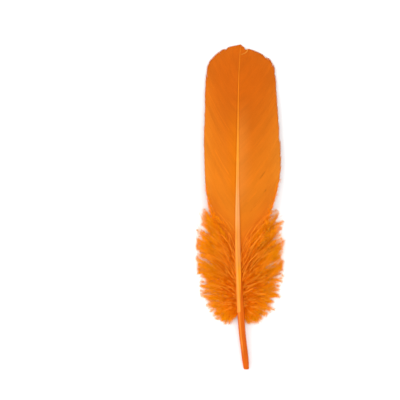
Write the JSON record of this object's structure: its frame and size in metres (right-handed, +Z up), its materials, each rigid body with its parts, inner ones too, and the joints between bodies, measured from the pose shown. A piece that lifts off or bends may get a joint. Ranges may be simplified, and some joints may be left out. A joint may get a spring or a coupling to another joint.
{
  "type": "goose quill feather",
  "caption": "Dyed orange goose quill feather lying face up: bare quill, arched tapering shaft, two broad round-tipped vanes and downy tufts at their foot.",
  "frame": {"origin": "on the surface that the feather lies on, under the middle of its box", "axes": "+Y along the shaft towards the tip, +Z up from the surface through the feather's face, +X to the right of the shaft"},
  "size_m": [0.047, 0.175, 0.009],
  "materials": {
    "shaft": "satin",
    "vane": "satin",
    "down": "matte"
  },
  "bodies": {
    "root": {"quill": "shaft", "vane_left": "vane", "vane_right": "vane", "down_left": "down", "down_right": "down"}
  },
  "joints": []
}
